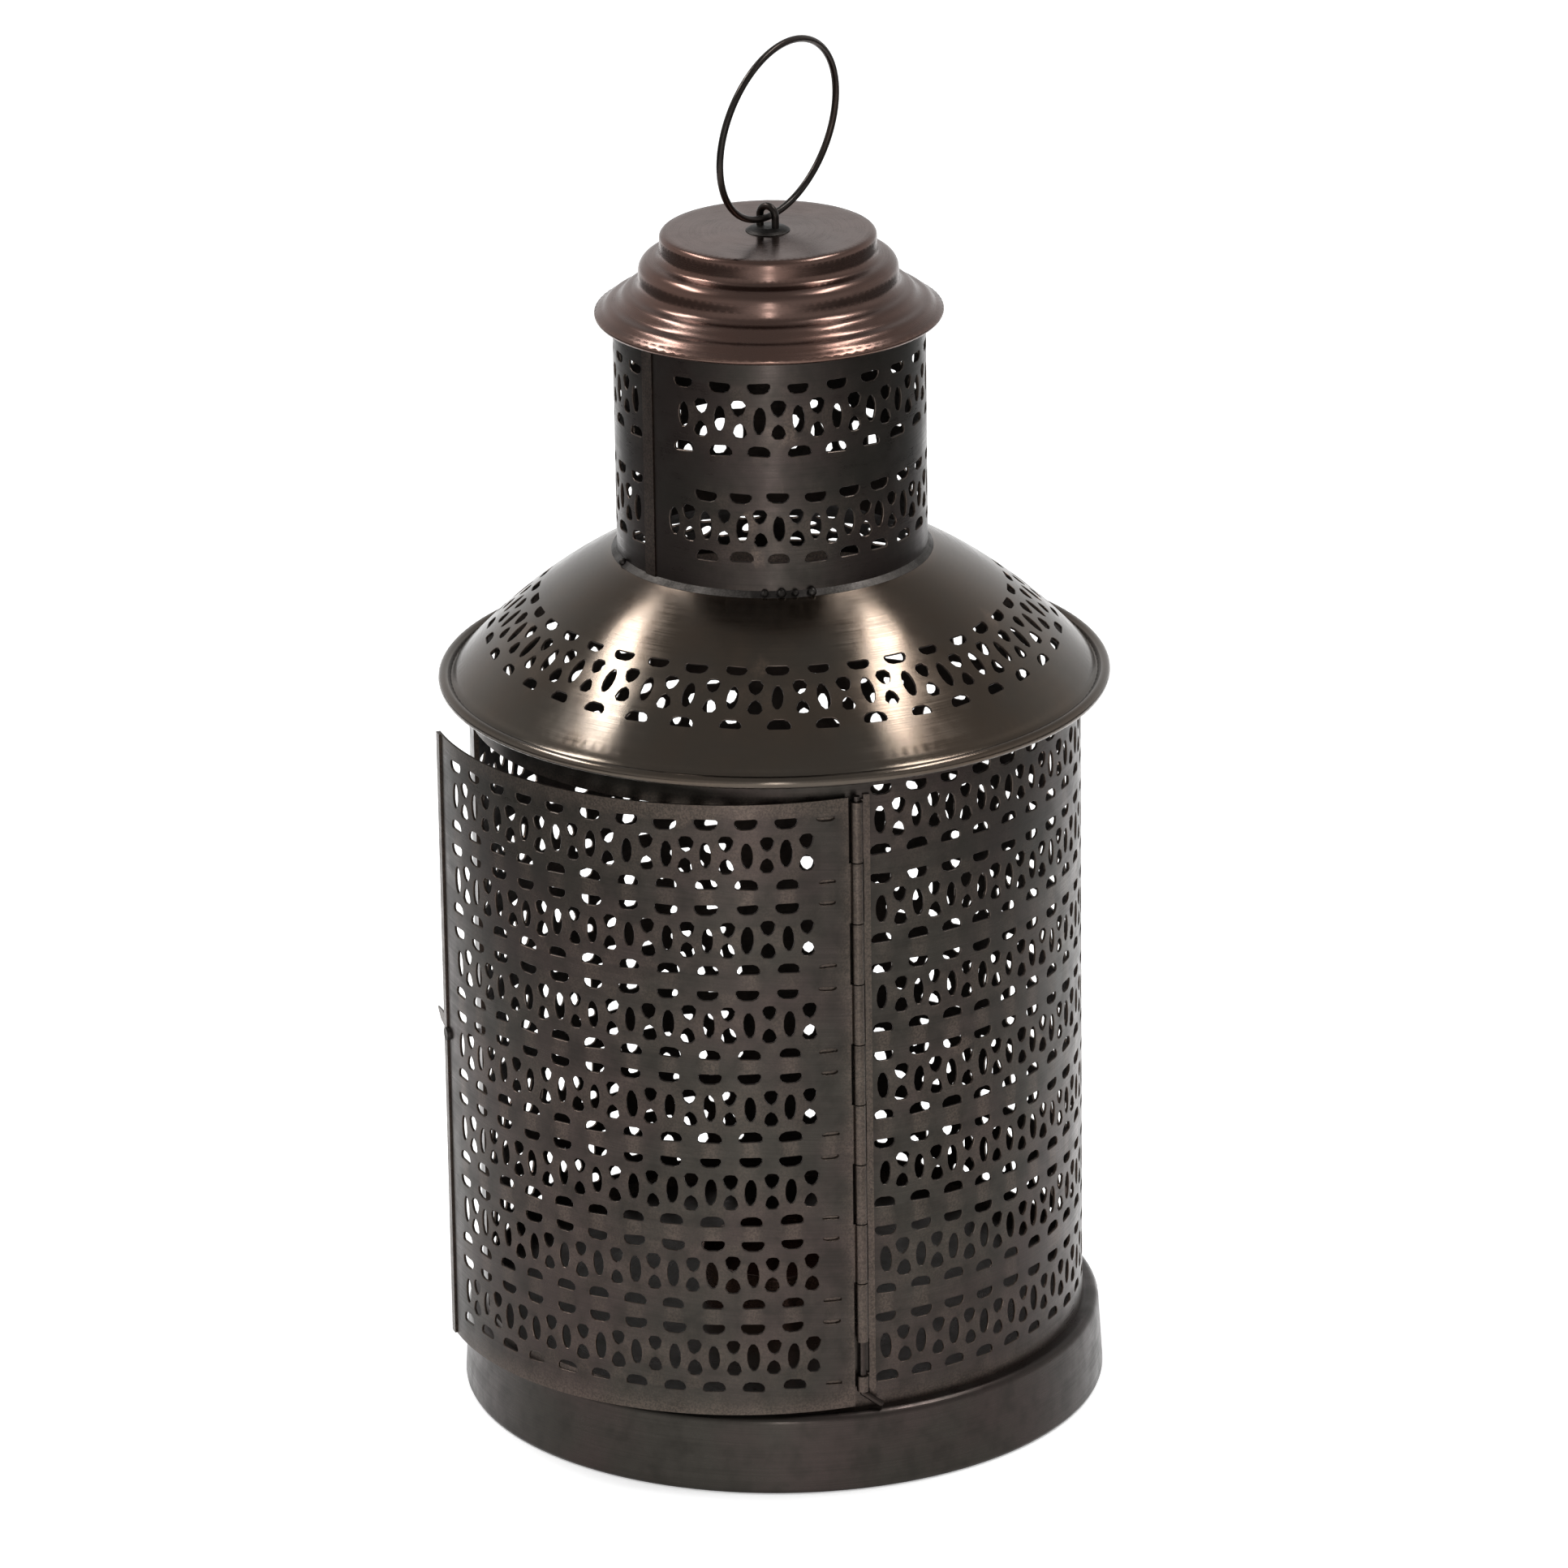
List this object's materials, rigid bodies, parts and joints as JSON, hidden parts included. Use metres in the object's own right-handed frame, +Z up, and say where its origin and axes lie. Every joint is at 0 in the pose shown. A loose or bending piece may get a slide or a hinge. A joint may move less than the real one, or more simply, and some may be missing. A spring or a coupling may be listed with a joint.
{
  "type": "pierced metal candle lantern",
  "caption": "Free-standing round lantern of pierced antique-copper sheet with a curved hinged door, conical roof, stepped cap and swinging hanging ring.",
  "frame": {"origin": "centre of the base's underside, on the lantern's axis", "axes": "+Z up along the lantern's axis, -Y towards the front of the door side, +X to the right"},
  "size_m": [0.1665, 0.1646, 0.3465],
  "materials": {
    "aged_copper": "dark antique copper, brushed, satin",
    "roof_bronze": "brown bronze, spun and brushed, satin",
    "cap_copper": "antique copper, spun, half bright",
    "iron_wire": "blackened wire",
    "soft_solder": "dull tin solder and rivet heads"
  },
  "bodies": {
    "root": {"base_plinth": "aged_copper", "body_shell": "aged_copper", "body_seam_lap": "aged_copper", "body_foot_hoop": "aged_copper", "roof_locating_hoop": "aged_copper", "opening_hinge_stile": "aged_copper", "opening_latch_stile": "aged_copper", "latch_keeper": "aged_copper", "neck_tube": "aged_copper", "neck_seam_lap": "aged_copper", "roof_cone": "roof_bronze", "cap": "cap_copper", "candle_cup": "cap_copper", "hinge_pin": "iron_wire", "roof_rim_wire": "iron_wire", "ring_eye": "iron_wire", "neck_solder_joint": "soft_solder", "eye_solder_pad": "soft_solder", "candle_cup_rivet": "soft_solder"},
    "door": {"door_panel": "aged_copper", "door_hinge_stile": "aged_copper", "door_free_edge_hem": "aged_copper", "latch_rivet": "soft_solder"},
    "latch": {"latch_tongue": "aged_copper"},
    "ring": {"hanging_ring": "iron_wire"}
  },
  "joints": [
    {"name": "door_hinge", "type": "hinge", "parent": "root", "child": "door", "pos_m": [0.01905, -0.07419, 0.1], "axis": [0, 0, 1], "range_deg": [-6.6, 115]},
    {"name": "latch_turn", "type": "hinge", "parent": "door", "child": "latch", "pos_m": [-0.08018, -0.02609, 0.101], "axis": [-0.9507, -0.3101, 0], "range_deg": [-40, 37]},
    {"name": "ring_swing", "type": "hinge", "parent": "root", "child": "ring", "pos_m": [0, 0, 0.3007], "axis": [0.6046, 0.7965, 0], "range_deg": [-97, 79]}
  ]
}
